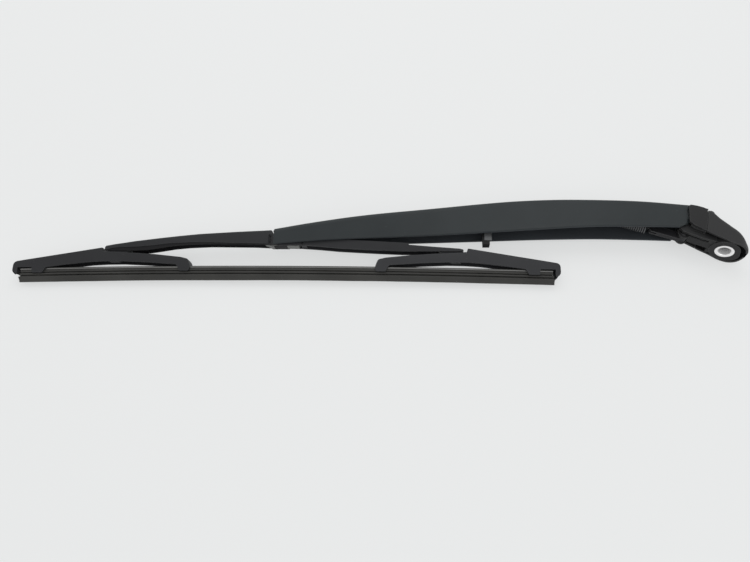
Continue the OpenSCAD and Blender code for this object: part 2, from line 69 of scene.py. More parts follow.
FRAME_BOUNDS = [list(map(float, corner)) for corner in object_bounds()]
MM = 0.001


# Settings

class ArmSettings(bpy.types.PropertyGroup):
    reach: bpy.props.FloatProperty(
        name="Reach", description="Lift hinge to blade pivot, mm",
        default=274.65, min=260, max=290)
    drop: bpy.props.FloatProperty(
        name="Drop", description="Lift hinge down to blade pivot, mm",
        default=15.93, min=15.5, max=16.5)
    droop: bpy.props.FloatProperty(
        name="Droop", description="Free swing past the working line, degrees",
        default=18.14, min=10, max=20)
    roll: bpy.props.FloatProperty(
        name="Roll", description="Twist of the tip, degrees",
        default=15.0, min=8, max=16)
    crown: bpy.props.FloatProperty(
        name="Crown", description="Crown above the hinge, mm",
        default=14.1, min=13.4, max=14.4)
    wall: bpy.props.FloatProperty(
        name="Wall", description="Side wall thickness, mm",
        default=1.3, min=1.1, max=1.4)
    roof: bpy.props.FloatProperty(
        name="Roof", description="Roof thickness, mm",
        default=1.9, min=1.6, max=2.0)
    edge: bpy.props.FloatProperty(
        name="Edge radius", description="Radius along the roof's edges, mm",
        default=2.9, min=2, max=3.4)
    coil_turns: bpy.props.IntProperty(
        name="Turns", description="Turns of the tension spring",
        default=25, min=18, max=27)
    coil_radius: bpy.props.FloatProperty(
        name="Coil radius", description="Mean radius of the coil, mm",
        default=3.6, min=3.2, max=3.7)
    wire: bpy.props.FloatProperty(
        name="Wire", description="Wire diameter of the coil, mm",
        default=0.85, min=0.8, max=1.2)


class BladeSettings(bpy.types.PropertyGroup):
    rubber_length: bpy.props.FloatProperty(
        name="Rubber length", description="mm",
        default=358.0, min=350, max=370)
    lip_drop: bpy.props.FloatProperty(
        name="Lip drop", description="Blade pivot down to the rubber's lip, mm",
        default=28.4, min=28, max=29)
    bow: bpy.props.FloatProperty(
        name="Bow", description="Ends of the rubber below its middle, mm",
        default=2.4, min=1, max=3)
    waviness: bpy.props.FloatProperty(
        name="Waviness", description="Unevenness of the worn lip, mm",
        default=0.12, min=0, max=0.5)


class LookSettings(bpy.types.PropertyGroup):
    paint: bpy.props.FloatVectorProperty(
        name="Paint", description="Arm paint",
        subtype="COLOR", default=(0.0215, 0.0262, 0.0280))
    cast: bpy.props.FloatVectorProperty(
        name="Cast head", description="Coated head",
        subtype="COLOR", default=(0.018, 0.0182, 0.0188))
    plastic: bpy.props.FloatVectorProperty(
        name="Plastic", description="Bridge and claws",
        subtype="COLOR", default=(0.0180, 0.0186, 0.0205))
    rubber: bpy.props.FloatVectorProperty(
        name="Rubber", description="Worn rubber",
        subtype="COLOR", default=(0.038, 0.0375, 0.035))
    grain: bpy.props.FloatProperty(
        name="Grain", description="Strength of the fine surface grain",
        default=0.35, min=0, max=1)
    dust: bpy.props.FloatProperty(
        name="Dust", description="Amount of dust",
        default=0.25, min=0, max=1)


class StudioSettings(bpy.types.PropertyGroup):
    lens: bpy.props.FloatProperty(
        name="Lens", description="Focal length, mm",
        default=29.76, min=20, max=80)
    floor: bpy.props.FloatVectorProperty(
        name="Floor", description="Colour of the lit table",
        subtype="COLOR", default=(0.805, 0.815, 0.815))
    glow: bpy.props.FloatProperty(
        name="Table glow", description="Share of the table's brightness that is its own",
        default=0.7, min=0, max=1)
    world: bpy.props.FloatProperty(
        name="World light", description="Strength of the even light",
        default=0.8, min=0, max=3)
    key: bpy.props.FloatProperty(
        name="Key light", description="Power of the large soft box, W",
        default=3.0, min=0, max=60)


# Plane geometry in the arm's and blade's own frames, mm

HINGE = np.array([-21.5, 18.5, 0.0])

# Ends of the arm channel: the tip as a share of the reach, the rear in mm from the hinge
TIP = -1.0226
REAR = -3.6


def turn_z(points, degrees):
    a = math.radians(degrees)
    x, y = points[..., 0], points[..., 1]
    turned_x = x * math.cos(a) - y * math.sin(a)
    turned_y = x * math.sin(a) + y * math.cos(a)
    return np.stack([turned_x, turned_y, points[..., 2]], -1)


def turn_x(points, degrees):
    a = math.radians(degrees)
    y, z = points[..., 1], points[..., 2]
    turned_y = y * math.cos(a) - z * math.sin(a)
    turned_z = y * math.sin(a) + z * math.cos(a)
    return np.stack([points[..., 0], turned_y, turned_z], -1)


def from_arm(points, s):
    """Points drawn from the lift hinge, in mm, placed in the part's frame in metres."""
    return (turn_z(np.asarray(points, float), s.droop) + HINGE) * MM


def from_blade(points, s):
    """Points drawn from the blade pivot, in mm, placed in the part's frame in metres."""
    return from_arm(turn_x(np.asarray(points, float), s.roll) + np.array([-s.reach, -s.drop, 0.0]), s)


def lip_place(s, b):
    """Placing function for points whose heights are counted from the rubber's lip."""
    def place(points):
        return from_blade(np.asarray(points) - np.array([0, b.lip_drop, 0]), s)
    return place


def curve(knots, x):
    """Smooth line through knots, the same one the CAD source uses."""
    k = np.asarray(knots, float)
    x = np.asarray(x, float)
    slope = np.empty(len(k))
    slope[1:-1] = (k[2:, 1] - k[:-2, 1]) / (k[2:, 0] - k[:-2, 0])
    slope[0] = (k[1, 1] - k[0, 1]) / (k[1, 0] - k[0, 0])
    slope[-1] = (k[-1, 1] - k[-2, 1]) / (k[-1, 0] - k[-2, 0])
    i = np.clip(np.searchsorted(k[:, 0], x) - 1, 0, len(k) - 2)
    w = k[i + 1, 0] - k[i, 0]
    t = np.clip((x - k[i, 0]) / w, 0, 1)
    return ((2 * t**3 - 3 * t * t + 1) * k[i, 1] + (t**3 - 2 * t * t + t) * slope[i] * w
            + (3 * t * t - 2 * t**3) * k[i + 1, 1] + (t**3 - t * t) * slope[i + 1] * w)


def ease(t):
    t = np.clip(t, 0, 1)
    return t * t * (3 - 2 * t)


def arm_lines(s):
    c = s.crown
    return {
        "top": [(TIP, -9.5), (-0.94, -5.3), (-0.776, 2.1), (-0.613, 7.6), (-0.449, c - 1.5),
                (-0.34, c), (-0.23, c - 0.6), (-0.121, c - 2.2), (-0.0124, 8.5)],
        "foot": [(TIP, -20.7), (-0.886, -17.7), (-0.722, -15.3), (-0.503, -12.5), (-0.34, -10.4),
                 (-0.23, -9.5), (-0.121, -9.9), (-0.0124, -10.8)],
        "half": [(TIP, 6.4), (-0.62, 6.5), (-0.38, 7.0), (-0.22, 8.0), (-0.0124, 8.6)],
    }


def arm_section(x, y_z, s, lines):
    """Section points (y, z) placed at x, each turned by the arm's twist there."""
    t = x / s.reach
    top, foot = curve(lines["top"], t), curve(lines["foot"], t)
    twist = np.radians(s.roll * (1 - ease((t + 0.958) / 0.746)))
    u = ease((t + 0.95) / 0.3)
    c = -s.drop * (1 - u) + (top + foot) / 2 * u
    y, z = y_z[..., 0] - c, y_z[..., 1]
    turned_y = y * np.cos(twist) - z * np.sin(twist) + c
    turned_z = y * np.sin(twist) + z * np.cos(twist)
    return np.stack([x, turned_y, turned_z], -1)


# The part's two sides, and the direction of each along z
EDGES = ((1, "near"), (-1, "far"))


# Mesh helpers

def add_mesh(name, points, faces, smooth_angle=35):
    """Object at the origin from points in metres and faces of any size."""
    mesh = bpy.data.meshes.new(name)
    corners = np.asarray(points, float).reshape(-1, 3).tolist()
    mesh.from_pydata(corners, [], [tuple(map(int, f)) for f in faces])
    mesh.validate()
    mesh.polygons.foreach_set("use_smooth", np.ones(len(mesh.polygons), bool))
    mesh.update()
    mesh.set_sharp_from_angle(angle=math.radians(smooth_angle))
    obj = bpy.data.objects.new(name, mesh)
    bpy.context.scene.collection.objects.link(obj)
    return obj


def grid_faces(rows, cols, wrap):
    """Quads of a grid stored row after row; wrap closes each row on itself."""
    last = cols if wrap else cols - 1
    r, c = np.meshgrid(np.arange(rows - 1), np.arange(last), indexing="ij")
    d = (c + 1) % cols
    quads = np.stack([r * cols + c, r * cols + d, (r + 1) * cols + d, (r + 1) * cols + c], -1)
    return quads.reshape(-1, 4).tolist()


def strip_cap(first, cols, flip):
    """End cap of a ring whose second half runs back beside its first half."""
    half = cols // 2
    out = []
    for i in range(half - 1):
        f = [first + i, first + i + 1, first + cols - 2 - i, first + cols - 1 - i]
        out.append(f[::-1] if flip else f)
    return out


def sweep(name, rings, place, smooth_angle=35):
    """Closed solid through rings (rows x cols x 3, mm)."""
    rings = np.asarray(rings, float)
    rows, cols = rings.shape[:2]
    caps = strip_cap(0, cols, False) + strip_cap((rows - 1) * cols, cols, True)
    faces = grid_faces(rows, cols, True) + caps
    obj = add_mesh(name, place(rings.reshape(-1, 3)), faces, smooth_angle)
    recalc(obj)
    return obj


def recalc(obj):
    """Turns all faces outward."""
    bm = bmesh.new()
    bm.from_mesh(obj.data)
    bmesh.ops.recalc_face_normals(bm, faces=bm.faces)
    bm.to_mesh(obj.data)
    bm.free()


def ease_edges(obj, width, degrees):
    """Bevel, its width in mm, on the edges that turn by more than an angle."""
    mod = obj.modifiers.new("Eased edges", "BEVEL")
    mod.width = width * MM
    mod.segments = 2
    mod.limit_method = "ANGLE"
    mod.angle_limit = math.radians(degrees)


def u_section(half, foot, top, wall, roof, edge, rim=0.35, arc=8, sides=()):
    """Channel's outer and inner side, (y, z) each, from the near foot over the roof to the far foot."""
    rise = top - edge - foot - rim
    out = [(foot + rim, half)] + [(foot + rim + rise * k, half) for k in sides]
    for a in np.linspace(0, math.pi / 2, arc):
        out.append((top - edge + edge * math.sin(a), half - edge + edge * math.cos(a)))
    for a in np.linspace(math.pi / 2, math.pi, arc):
        out.append((top - edge + edge * math.sin(a), -half + edge + edge * math.cos(a)))
    out += [(foot + rim + rise * k, -half) for k in sides[::-1]] + [(foot + rim, -half)]
    e = max(edge - wall * 0.7, 0.5)
    h, t = half - wall, top - roof
    climb = t - e - foot - rim * 0.4
    inn = [(foot, half - rim), (foot, half - wall + rim * 0.4), (foot + rim * 0.4, h)]
    inn += [(foot + rim * 0.4 + climb * k, h) for k in sides]
    for a in np.linspace(0, math.pi / 2, arc - 2):
        inn.append((t - e + e * math.sin(a), h - e + e * math.cos(a)))
    for a in np.linspace(math.pi / 2, math.pi, arc - 2):
        inn.append((t - e + e * math.sin(a), -h + e + e * math.cos(a)))
    inn += [(foot + rim * 0.4 + climb * k, -h) for k in sides[::-1]]
    inn += [(foot + rim * 0.4, -h), (foot, -half + wall - rim * 0.4), (foot, -half + rim)]
    return np.array(out), np.array(inn)


# Materials

def group(name, inputs, outputs):
    """New node group with sockets (name, kind, default)."""
    g = bpy.data.node_groups.new(name, "ShaderNodeTree")
    for n, kind, value in inputs:
        sock = g.interface.new_socket(n, in_out="INPUT", socket_type=kind)
        if value is not None:
            sock.default_value = value
    for n, kind in outputs:
        g.interface.new_socket(n, in_out="OUTPUT", socket_type=kind)
    gi, go = g.nodes.new("NodeGroupInput"), g.nodes.new("NodeGroupOutput")
    return g, gi, go


def add_node(tree, kind, values=None, **settings):
    """New shader node; settings are its own options, values fill inputs by name or number."""
    made = tree.nodes.new("ShaderNode" + kind)
    for key, setting in settings.items():
        setattr(made, key, setting)
    for socket, value in (values or {}).items():
        made.inputs[socket].default_value = value
    return made


def connect(tree, *pairs):
    """Links each output with its input."""
    for source, target in pairs:
        tree.links.new(source, target)


def grain_group():
    """Fine moulded or sprayed grain: a height for bump and a small swing in roughness."""
    inputs = [("Vector", "NodeSocketVector", None), ("Size", "NodeSocketFloat", 2600.0),
              ("Rough", "NodeSocketFloat", 0.5), ("Swing", "NodeSocketFloat", 0.08),
              ("Strength", "NodeSocketFloat", 0.3)]
    outputs = [("Normal", "NodeSocketVector"), ("Roughness", "NodeSocketFloat")]
    tree, given, result = group("Fine grain", inputs, outputs)
    fine = add_node(tree, "TexNoise", {"Detail": 3})
    broad = add_node(tree, "TexNoise", {"Scale": 60, "Detail": 4})
    bump = add_node(tree, "Bump", {"Distance": 0.00008})
    swing = add_node(tree, "Math", operation="MULTIPLY_ADD")
    centred = add_node(tree, "Math", {1: 0.5}, operation="SUBTRACT")
    connect(tree,
            (given.outputs["Vector"], fine.inputs["Vector"]),
            (given.outputs["Size"], fine.inputs["Scale"]),
            (given.outputs["Vector"], broad.inputs["Vector"]),
            (fine.outputs["Fac"], bump.inputs["Height"]),
            (given.outputs["Strength"], bump.inputs["Strength"]),
            (broad.outputs["Fac"], centred.inputs[0]),
            (centred.outputs[0], swing.inputs[0]),
            (given.outputs["Swing"], swing.inputs[1]),
            (given.outputs["Rough"], swing.inputs[2]),
            (bump.outputs["Normal"], result.inputs["Normal"]),
            (swing.outputs[0], result.inputs["Roughness"]))


def wear_group():
    """Base colour with faint mottling, sparse dust specks and slightly lighter edges; the edges' lightening
    is edge wear and also a painted highlight.
    """
    inputs = [("Vector", "NodeSocketVector", None), ("Color", "NodeSocketColor", (0.1, 0.1, 0.1, 1)),
              ("Mottle", "NodeSocketFloat", 0.12), ("Dust", "NodeSocketFloat", 0.2),
              ("Edge", "NodeSocketFloat", 0.3)]
    tree, given, result = group("Wear", inputs, [("Color", "NodeSocketColor")])

    cloud = add_node(tree, "TexNoise", {"Scale": 28, "Detail": 5})
    shade = add_node(tree, "MapRange", {"From Min": 0.3, "From Max": 0.7})
    low = add_node(tree, "Math", {0: 1}, operation="SUBTRACT")
    high = add_node(tree, "Math", {0: 1}, operation="ADD")
    tone = add_node(tree, "VectorMath", operation="SCALE")
    connect(tree,
            (given.outputs["Mottle"], low.inputs[1]),
            (given.outputs["Mottle"], high.inputs[1]),
            (low.outputs[0], shade.inputs["To Min"]),
            (high.outputs[0], shade.inputs["To Max"]),
            (given.outputs["Vector"], cloud.inputs["Vector"]),
            (cloud.outputs["Fac"], shade.inputs["Value"]),
            (given.outputs["Color"], tone.inputs[0]),
            (shade.outputs[0], tone.inputs["Scale"]))

    speck = add_node(tree, "TexVoronoi", {"Scale": 420})
    cut = add_node(tree, "MapRange", {"From Min": 0.10, "From Max": 0.04})
    patch = add_node(tree, "TexNoise", {"Scale": 90})
    where = add_node(tree, "MapRange", {"From Min": 0.55, "From Max": 0.75})
    both = add_node(tree, "Math", operation="MULTIPLY")
    amount = add_node(tree, "Math", operation="MULTIPLY")
    dusty = add_node(tree, "Mix", {"B": (0.42, 0.43, 0.42, 1)}, data_type="RGBA")
    connect(tree,
            (given.outputs["Vector"], speck.inputs["Vector"]),
            (given.outputs["Vector"], patch.inputs["Vector"]),
            (speck.outputs["Distance"], cut.inputs["Value"]),
            (patch.outputs["Fac"], where.inputs["Value"]),
            (cut.outputs[0], both.inputs[0]),
            (where.outputs[0], both.inputs[1]),
            (both.outputs[0], amount.inputs[0]),
            (given.outputs["Dust"], amount.inputs[1]),
            (amount.outputs[0], dusty.inputs["Factor"]),
            (tone.outputs[0], dusty.inputs["A"]))

    # Lighter edges: edge wear together with a painted highlight along rounded edges
    bevel = add_node(tree, "Bevel", {"Radius": 0.0005}, samples=4)
    shape = add_node(tree, "NewGeometry")
    dot = add_node(tree, "VectorMath", operation="DOT_PRODUCT")
    rim = add_node(tree, "MapRange", {"From Min": 0.97, "From Max": 0.75})
    edge_wear_and_highlight = add_node(tree, "Math", operation="MULTIPLY")
    worn = add_node(tree, "Mix", {"B": (0.22, 0.22, 0.22, 1)}, data_type="RGBA")
    connect(tree,
            (bevel.outputs["Normal"], dot.inputs[0]),
            (shape.outputs["Normal"], dot.inputs[1]),
            (dot.outputs["Value"], rim.inputs["Value"]),
            (rim.outputs[0], edge_wear_and_highlight.inputs[0]),
            (given.outputs["Edge"], edge_wear_and_highlight.inputs[1]),
            (edge_wear_and_highlight.outputs[0], worn.inputs["Factor"]),
            (dusty.outputs["Result"], worn.inputs["A"]),
            (worn.outputs["Result"], result.inputs["Color"]))


def material(name, color, rough, metallic=0.0, grain=0.3, size=2600.0, swing=0.08,
             mottle=0.1, dust=0.15, edge=0.15, spec=0.5):
    """Material with the shared grain and wear groups."""
    m = bpy.data.materials.new(name)
    m.use_nodes = True
    tree = m.node_tree
    body = tree.nodes["Principled BSDF"]
    body.inputs["Metallic"].default_value = metallic
    body.inputs["Specular IOR Level"].default_value = spec
    place = add_node(tree, "TexCoord")
    fine = add_node(tree, "Group", node_tree=bpy.data.node_groups["Fine grain"])
    wear = add_node(tree, "Group", node_tree=bpy.data.node_groups["Wear"])
    for socket, value in (("Size", size), ("Rough", rough), ("Swing", swing), ("Strength", grain)):
        fine.inputs[socket].default_value = value
    for socket, value in (("Color", (*color, 1)), ("Mottle", mottle), ("Dust", dust), ("Edge", edge)):
        wear.inputs[socket].default_value = value
    connect(tree,
            (place.outputs["Object"], fine.inputs["Vector"]),
            (place.outputs["Object"], wear.inputs["Vector"]),
            (fine.outputs["Normal"], body.inputs["Normal"]),
            (fine.outputs["Roughness"], body.inputs["Roughness"]),
            (wear.outputs["Color"], body.inputs["Base Color"]))


# The bore wall's material reaches a little past the bore's radius, mm
BORE_REACH = 3.9
# Number of light and dark stripes painted around the bore, painted shading in place of fine ridges
BORE_PAINTED_RIDGES = 36


def bore_wall_with_painted_light(m):
    """Inside the bore the insert is duller and not metallic. Its colour is lighter, painted light that lifts
    the bore's shade, and light and dark stripes running along its axis are painted shading that stands in
    for fine ridges.
    """
    tree = m.node_tree
    body = tree.nodes["Principled BSDF"]
    place = add_node(tree, "TexCoord")
    flat = add_node(tree, "VectorMath", {1: (1, 0, 1)}, operation="MULTIPLY")
    far = add_node(tree, "VectorMath", operation="LENGTH")
    inside = add_node(tree, "Math", {1: BORE_REACH * MM}, operation="LESS_THAN")
    axes = add_node(tree, "SeparateXYZ")
    turn = add_node(tree, "Math", operation="ARCTAN2")
    many = add_node(tree, "Math", {1: BORE_PAINTED_RIDGES}, operation="MULTIPLY")
    wave = add_node(tree, "Math", operation="SINE")
    painted_ridge_shade = add_node(tree, "MapRange", {"From Min": -1, "To Min": 0.5, "To Max": 0.8})
    wall = add_node(tree, "CombineColor")
    pick = add_node(tree, "Mix", data_type="RGBA")
    metal = add_node(tree, "Math", {0: 1}, operation="SUBTRACT")
    face = body.inputs["Base Color"].links[0].from_socket
    connect(tree,
            (place.outputs["Object"], flat.inputs[0]),
            (flat.outputs["Vector"], far.inputs[0]),
            (far.outputs["Value"], inside.inputs[0]),
            (place.outputs["Object"], axes.inputs[0]),
            (axes.outputs["X"], turn.inputs[0]),
            (axes.outputs["Z"], turn.inputs[1]),
            (turn.outputs[0], many.inputs[0]),
            (many.outputs[0], wave.inputs[0]),
            (wave.outputs[0], painted_ridge_shade.inputs["Value"]),
            (painted_ridge_shade.outputs[0], wall.inputs[0]),
            (painted_ridge_shade.outputs[0], wall.inputs[1]),
            (painted_ridge_shade.outputs[0], wall.inputs[2]),
            (inside.outputs[0], pick.inputs["Factor"]),
            (face, pick.inputs["A"]),
            (wall.outputs[0], pick.inputs["B"]),
            (pick.outputs["Result"], body.inputs["Base Color"]),
            (inside.outputs[0], metal.inputs[1]),
            (metal.outputs[0], body.inputs["Metallic"]))


def paint_object(obj, name):
    obj.data.materials.clear()
    obj.data.materials.append(bpy.data.materials[name])


def build_materials(look):
    grain_group()
    wear_group()
    d = look.dust
    material("Arm paint", tuple(look.paint), 0.46,
             grain=look.grain, dust=d, edge=0.25, mottle=0.10, spec=0.22)
    # The channel's inside: a duller coat whose colour is lighter than the outer paint, painted light that
    # lifts the shade inside the channel
    material("Arm inside with painted light", (0.037, 0.042, 0.047), 0.65,
             grain=look.grain, dust=d * 0.6, edge=0.05, spec=0.2)
    material("Cast coat", tuple(look.cast), 0.52, grain=0.5, size=1500, dust=d, edge=0.3, spec=0.2)
    material("Cover plastic", tuple(c * 1.05 for c in look.cast), 0.5,
             grain=0.4, size=1800, dust=d, edge=0.2, spec=0.3)
    material("Blade plastic", tuple(look.plastic), 0.52,
             grain=0.4, size=1900, dust=d * 1.3, edge=0.2, mottle=0.12, spec=0.25)
    # Painted light: a lighter copy of the blade plastic for the inner lever, lifting the arm's shadow that
    # falls on it
    material("Lever plastic with painted light", tuple(c * 1.3 for c in look.plastic), 0.52,
             grain=0.4, size=1900, dust=d * 1.3, edge=0.2, mottle=0.12, spec=0.3)
    material("Shaded plastic", (0.012, 0.012, 0.013), 0.6,
             grain=0.4, size=1900, dust=d * 0.4, edge=0.05, spec=0.12)
    material("Rubber", tuple(look.rubber), 0.62,
             grain=0.5, size=1200, swing=0.15, dust=d * 1.6, edge=0.1, mottle=0.25, spec=0.25)
    material("Black rubber", (0.010, 0.010, 0.010), 0.6,
             grain=0.4, size=1200, dust=d * 0.5, edge=0.05, spec=0.2)
    material("Bright insert", (0.94, 0.93, 0.93), 0.35, metallic=1.0,
             grain=0.15, dust=0.0, edge=0, mottle=0.03)
    # Painted light and painted ridge shading inside the bore
    bore_wall_with_painted_light(bpy.data.materials["Bright insert"])
    material("Pin steel", (0.35, 0.35, 0.36), 0.38, metallic=1.0, grain=0.2, dust=d * 0.5)
    material("Spring steel", (0.10, 0.102, 0.106), 0.48, metallic=0.5, grain=0.2, dust=d * 0.5)
    # Dark steel with strongly lightened edges: edge wear and a painted highlight
    material("Dark steel", (0.017, 0.017, 0.019), 0.5, metallic=0.2,
             grain=0.2, dust=d * 0.5, edge=0.5, spec=0.25)
    material("Spline steel", (0.17, 0.17, 0.165), 0.4, metallic=0.7, grain=0.2, dust=d)
    material("Grey clip", (0.13, 0.133, 0.128), 0.55, grain=0.3, dust=d, edge=0.05)
    material("Peg grey", (0.074, 0.077, 0.079), 0.55, grain=0.3, dust=d)
    material("Bush plastic", (0.45, 0.42, 0.32), 0.5)


FINISH = {
    "arm_head": "Cast coat", "spindle_insert": "Bright insert", "hinge_pin": "Pin steel",
    "hinge_bushes": "Bush plastic", "hinge_bracket": "Arm paint", "nut_cover": "Cover plastic",
    "cover_pin": "Pin steel", "arm_channel": "Arm paint", "spring_anchor_pin": "Pin steel",
    "tension_spring": "Spring steel", "spring_link": "Dark steel", "link_pin": "Pin steel",
    "rest_peg": "Peg grey", "peg_tip": "Black rubber", "blade_adapter": "Grey clip",
    "blade_bridge": "Blade plastic", "bridge_pin": "Pin steel", "outer_lever": "Blade plastic",
    "outer_lever_pin": "Blade plastic", "inner_lever": "Blade plastic",
    "inner_lever_pin": "Blade plastic", "wiper_rubber": "Rubber", "near_spline": "Spline steel",
    "far_spline": "Spline steel",
}
BEVELS = {
    "arm_head": 0.32, "hinge_bracket": 0.3, "nut_cover": 0.6, "blade_bridge": 0.35,
    "outer_lever": 0.35, "inner_lever": 0.35, "blade_adapter": 0.3, "rest_peg": 0.3, "peg_tip": 0.4,
    "spring_link": 0.25,
}


def dress_nodes():
    """Gives each CAD node its material and eased edges."""
    for name, obj in NODES.items():
        paint_object(obj, FINISH[name])
        if name in BEVELS:
            ease_edges(obj, BEVELS[name], 32)


# Operators

class WIPER_OT_materials(bpy.types.Operator):
    """Make the materials and dress the CAD nodes"""
    bl_idname = "wiper.materials"
    bl_label = "Materials"

    def execute(self, context):
        build_materials(context.scene.wiper_look)
        dress_nodes()
        return {"FINISHED"}


# Heights on the channel's rear edge and how far back it ends at each, mm from the hinge
REAR_HEIGHTS = np.array([-14, -9.9, -9, -7.6, -4.9, -2.4, 2.2, 6.0, 20])
REAR_ENDS = np.array([-14.5, -13.6, -9.3, -7.2, -6.2, -6.5, -6.5, REAR, REAR])

# Shares of the side wall's height that get a row of points of their own
SIDE_ROWS = (0.03, 0.07, 0.12, 0.18, 0.26, 0.35, 0.43, 0.52, 0.66, 0.8, 0.9)

PEG_COLLAR = [(-140.3, -17.3), (-135.4, -17.3), (-135.2, -8.3), (-140.1, -8.3)]


class WIPER_OT_arm(bpy.types.Operator):
    """Build the smooth arm channel"""
    bl_idname = "wiper.arm"
    bl_label = "Arm channel"

    def execute(self, context):
        s = context.scene.wiper_arm
        lines = arm_lines(s)
        rows = []
        for u in np.linspace(0, 1, 140):
            # Section sized at this share of the length, each point then ends on the rear edge's own line
            x0 = TIP * s.reach * (1 - u) + REAR * u
            t = x0 / s.reach
            top, foot, half = curve(lines["top"], t), curve(lines["foot"], t), curve(lines["half"], t)
            out, inn = u_section(half, foot, top, s.wall, s.roof, s.edge, sides=SIDE_ROWS)
            ring = np.concatenate([out, inn[::-1]])
            end = np.interp(ring[:, 0], REAR_HEIGHTS, REAR_ENDS)
            x = TIP * s.reach * (1 - u) + end * u
            t2 = x / s.reach
            # The section's heights again at each point's own place
            rise = (curve(lines["top"], t2) - top) * (ring[:, 0] - foot) / (top - foot)
            sink = (curve(lines["foot"], t2) - foot) * (top - ring[:, 0]) / (top - foot)
            y = ring[:, 0] + rise + sink
            rows.append(arm_section(x, np.stack([y, ring[:, 1]], -1), s, lines))
        rings = np.array(rows)
        n, m = rings.shape[:2]
        k = len(out)
        faces = grid_faces(n, m, True)
        for first, flip in ((0, False), ((n - 1) * m, True)):
            faces += u_cap(first, k, m, flip)
        obj = add_mesh("Arm_channel_skin", from_arm(rings.reshape(-1, 3), s), faces, 50)
        recalc(obj)
        paint_object(obj, "Arm paint")
        # Inner faces take the lighter inside material, painted light on the channel's shaded inside
        obj.data.materials.append(bpy.data.materials["Arm inside with painted light"])
        for face in obj.data.polygons:
            face.material_index = int(all(v % m >= k for v in face.vertices))
        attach(obj, "arm")
        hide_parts("arm_channel")
        # Grey collar on the near face of the rest peg, above its dark tip
        collar = plate("Rest_peg_collar", PEG_COLLAR, 1.8, 2.5, lambda p: from_arm(p, s), 0.15)
        paint_object(collar, "Peg grey")
        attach(collar, "arm")
        return {"FINISHED"}


def u_cap(first, k, m, flip):
    """End of a channel: the outer row of k points against the inner row of m - k points."""
    out = list(range(k))
    inn = list(range(m - 1, k - 1, -1))
    faces = []
    i = j = 0
    while i < len(out) - 1 or j < len(inn) - 1:
        fi, fj = (i + 1) / (len(out) - 1), (j + 1) / (len(inn) - 1)
        if j >= len(inn) - 1 or (i < len(out) - 1 and fi <= fj):
            f = [out[i], out[i + 1], inn[j]]
            i += 1
        else:
            f = [out[i], inn[j + 1], inn[j]]
            j += 1
        f = [first + v for v in f]
        faces.append(f[::-1] if flip else f)
    return faces


# Half of the rubber's section from the lip up: (half width, height), mm
RUBBER = [
    (0.35, 0), (0.42, 0.5), (0.6, 1.0), (1.3, 1.85), (2.4, 2.9), (2.5, 3.1), (2.4, 3.42),
    (1.1, 3.5), (1.0, 3.9), (1.1, 4.35), (2.7, 4.42), (2.8, 4.6), (2.8, 5.3), (2.7, 5.43),
    (1.55, 5.5), (1.5, 5.85), (1.55, 6.18), (2.7, 6.25), (2.8, 6.4), (2.8, 7.5), (2.7, 7.64),
    (0.9, 7.7), (0.9, 8.9), (2.1, 8.95), (2.2, 9.1), (2.15, 9.35), (1.5, 9.5),
]


# The splines sit in the rubber's upper groove: their middle height from the lip, and where they
# begin and end sideways, mm
SPLINE_HEIGHT = 8.3
SPLINE_INNER = 0.95
SPLINE_OUTER = 3.1

# Places along the blade, mm from the pivot, between which the rubber would bend; nothing here bends it
BEND_START = 8.0
BEND_END = 62.0


def sag(x, b):
    return -b.bow * (x / (b.rubber_length / 2)) ** 2


class WIPER_OT_rubber(bpy.types.Operator):
    """Build the wiper rubber and its two steel splines"""
    bl_idname = "wiper.rubber"
    bl_label = "Rubber and splines"

    def execute(self, context):
        s, b = context.scene.wiper_arm, context.scene.wiper_blade
        rng = np.random.default_rng(7)
        half = b.rubber_length / 2
        prof = np.array(RUBBER)
        near_side = np.stack([prof[:, 1], prof[:, 0]], -1)
        far_side = np.stack([prof[::-1, 1], -prof[::-1, 0]], -1)
        ring = np.concatenate([near_side, far_side])
        lo, hi = SPLINE_INNER, SPLINE_OUTER
        bar = np.array([[-0.45, hi - 0.12], [-0.33, hi], [0.33, hi], [0.45, hi - 0.12],
                        [0.45, lo], [0.0, lo - 0.01], [-0.45, lo], [-0.45, (hi + lo) / 2]])
        for side, name in ((-1, "outer"), (1, "inner")):
            xs = side * np.linspace(0, half, 90)
            wave = np.convolve(rng.normal(0, 1, 98), np.ones(9) / 9, "valid") * b.waviness
            wave[0] = 0
            rings = np.zeros((len(xs), len(ring), 3))
            rings[:, :, 0] = xs[:, None]
            low = np.clip(1 - ring[:, 0] / 2.5, 0, 1)
            rings[:, :, 1] = ring[:, 0] - b.lip_drop + sag(xs, b)[:, None] + wave[:, None] * low[None, :]
            rings[:, :, 2] = ring[:, 1] + wave[::-1, None] * low[None, :] * 2
            # Worn, stepped end
            rings[-1, :, 0] -= side * np.where(ring[:, 0] < 3.2, 0.0, np.where(ring[:, 0] < 6, 0.6, 1.2))
            obj = sweep(f"Rubber_{name}", rings, lambda p: from_blade(p, s), 40)
            paint_object(obj, "Rubber")
            a = from_blade([side * BEND_START, -22, 0], s)
            c = from_blade([side * BEND_END, -22, 0], s)
            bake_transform(obj)
            if side == 1:
                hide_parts("wiper_rubber")
            for edge, node in ((1, "near"), (-1, "far")):
                bar_xs = side * np.linspace(0, half - 1, 60)
                bars = np.zeros((len(bar_xs), len(bar), 3))
                bars[:, :, 0] = bar_xs[:, None]
                bars[:, :, 1] = bar[:, 0] + SPLINE_HEIGHT - b.lip_drop + sag(bar_xs, b)[:, None]
                bars[:, :, 2] = edge * bar[:, 1]
                o = sweep(f"Spline_{node}_{name}", bars, lambda p: from_blade(p, s), 30)
                paint_object(o, "Spline steel")
                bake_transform(o)
                if side == 1:
                    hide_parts(f"{node}_spline")
        return {"FINISHED"}


